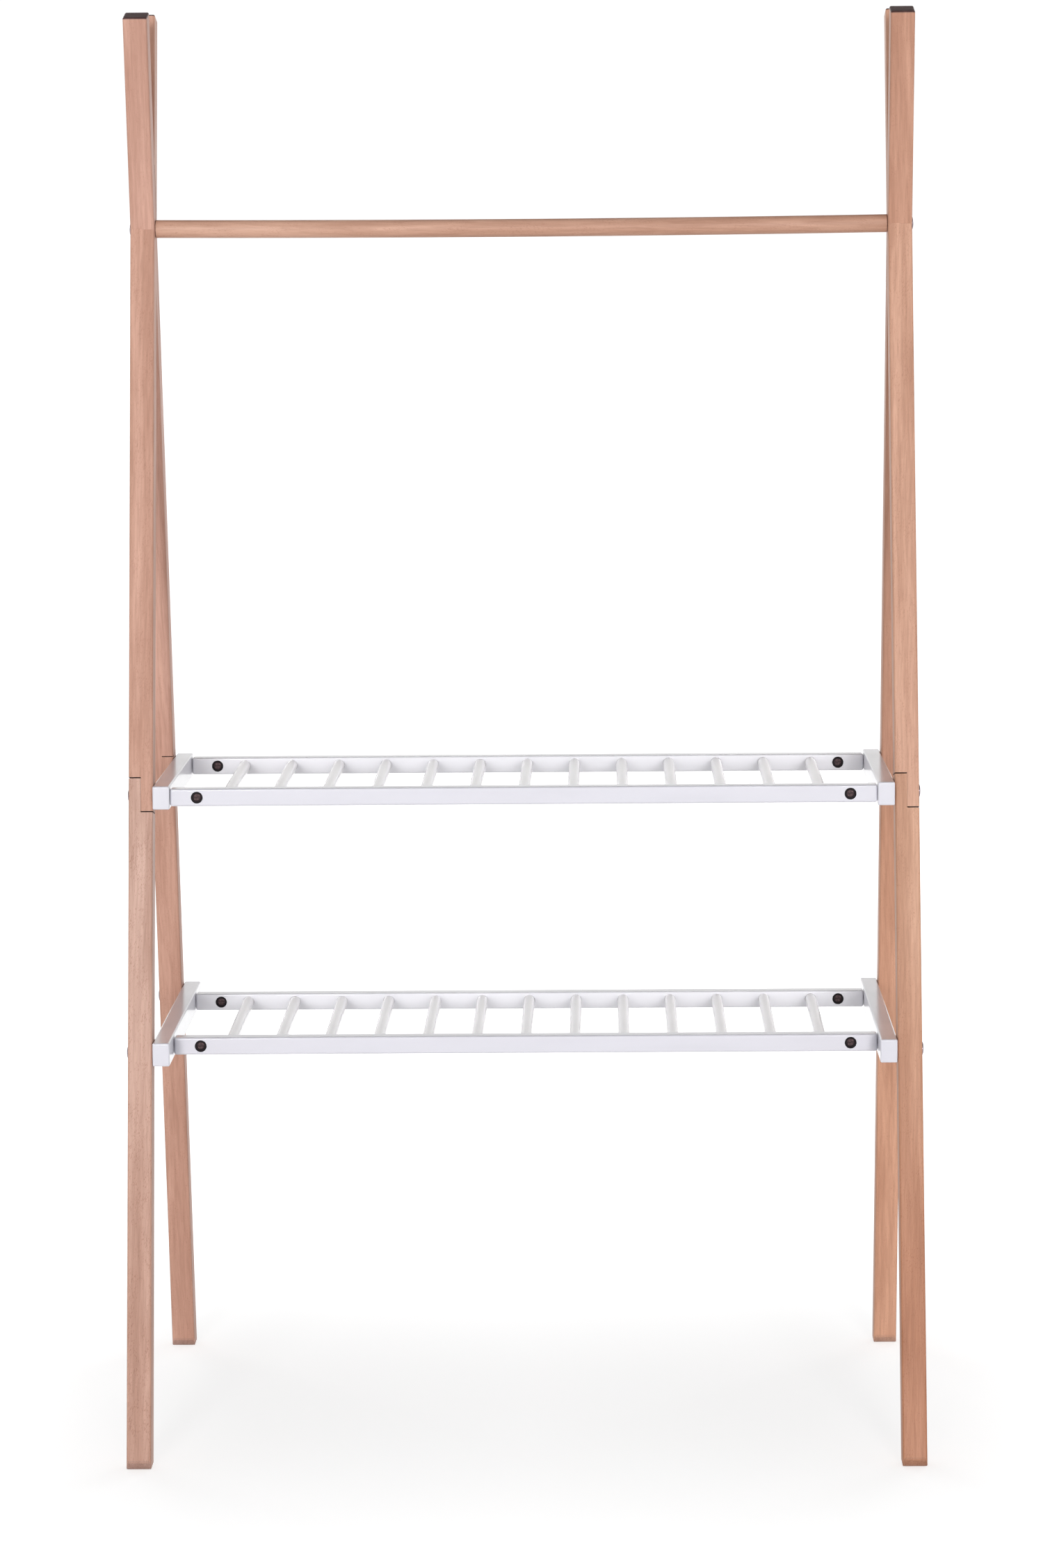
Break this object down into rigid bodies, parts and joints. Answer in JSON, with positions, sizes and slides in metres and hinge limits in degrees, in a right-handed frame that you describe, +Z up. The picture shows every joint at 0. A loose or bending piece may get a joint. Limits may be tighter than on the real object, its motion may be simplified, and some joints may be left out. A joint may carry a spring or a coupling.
{
  "type": "clothes rack",
  "caption": "A-frame clothes rack: crossing beech legs at each side, a round hanger rail between the crossings, and white ladder shelves bolted between the legs below it.",
  "frame": {"origin": "on the floor, midway between the four feet: the centre of the bounding box at its base", "axes": "+Z up; +X to the right along the hanger rail; -Y is the front, +Y the rear"},
  "size_m": [0.8146, 0.5782, 1.4694],
  "materials": {
    "beech": "clear matt lacquer over steamed beech, fine dark ray flecks",
    "white_paint": "satin white paint over wood",
    "dark_steel": "black-zinc bolts and barrel nuts, satin"
  },
  "bodies": {
    "root": {"front_left_leg_lower": "beech", "front_left_leg_upper": "beech", "front_left_lower_leg_bolt": "dark_steel", "front_left_lower_shelf_bolt": "dark_steel", "front_left_upper_leg_bolt": "dark_steel", "front_left_upper_shelf_bolt": "dark_steel", "front_right_leg_lower": "beech", "front_right_leg_upper": "beech", "front_right_lower_leg_bolt": "dark_steel", "front_right_lower_shelf_bolt": "dark_steel", "front_right_upper_leg_bolt": "dark_steel", "front_right_upper_shelf_bolt": "dark_steel", "hanger_rail_with_end_bolts": "beech", "lower_shelf_front_rail": "white_paint", "lower_shelf_left_end_bar": "white_paint", "lower_shelf_rear_rail": "white_paint", "lower_shelf_right_end_bar": "white_paint", "lower_shelf_slat_01": "white_paint", "lower_shelf_slat_02": "white_paint", "lower_shelf_slat_03": "white_paint", "lower_shelf_slat_04": "white_paint", "lower_shelf_slat_05": "white_paint", "lower_shelf_slat_06": "white_paint", "lower_shelf_slat_07": "white_paint", "lower_shelf_slat_08": "white_paint", "lower_shelf_slat_09": "white_paint", "lower_shelf_slat_10": "white_paint", "lower_shelf_slat_11": "white_paint", "lower_shelf_slat_12": "white_paint", "lower_shelf_slat_13": "white_paint", "rear_left_leg_lower": "beech", "rear_left_leg_upper": "beech", "rear_left_lower_leg_bolt": "dark_steel", "rear_left_lower_shelf_bolt": "dark_steel", "rear_left_upper_leg_bolt": "dark_steel", "rear_left_upper_shelf_bolt": "dark_steel", "rear_right_leg_lower": "beech", "rear_right_leg_upper": "beech", "rear_right_lower_leg_bolt": "dark_steel", "rear_right_lower_shelf_bolt": "dark_steel", "rear_right_upper_leg_bolt": "dark_steel", "rear_right_upper_shelf_bolt": "dark_steel", "upper_shelf_front_rail": "white_paint", "upper_shelf_left_end_bar": "white_paint", "upper_shelf_rear_rail": "white_paint", "upper_shelf_right_end_bar": "white_paint", "upper_shelf_slat_01": "white_paint", "upper_shelf_slat_02": "white_paint", "upper_shelf_slat_03": "white_paint", "upper_shelf_slat_04": "white_paint", "upper_shelf_slat_05": "white_paint", "upper_shelf_slat_06": "white_paint", "upper_shelf_slat_07": "white_paint", "upper_shelf_slat_08": "white_paint", "upper_shelf_slat_09": "white_paint", "upper_shelf_slat_10": "white_paint", "upper_shelf_slat_11": "white_paint", "upper_shelf_slat_12": "white_paint", "upper_shelf_slat_13": "white_paint"}
  },
  "joints": []
}
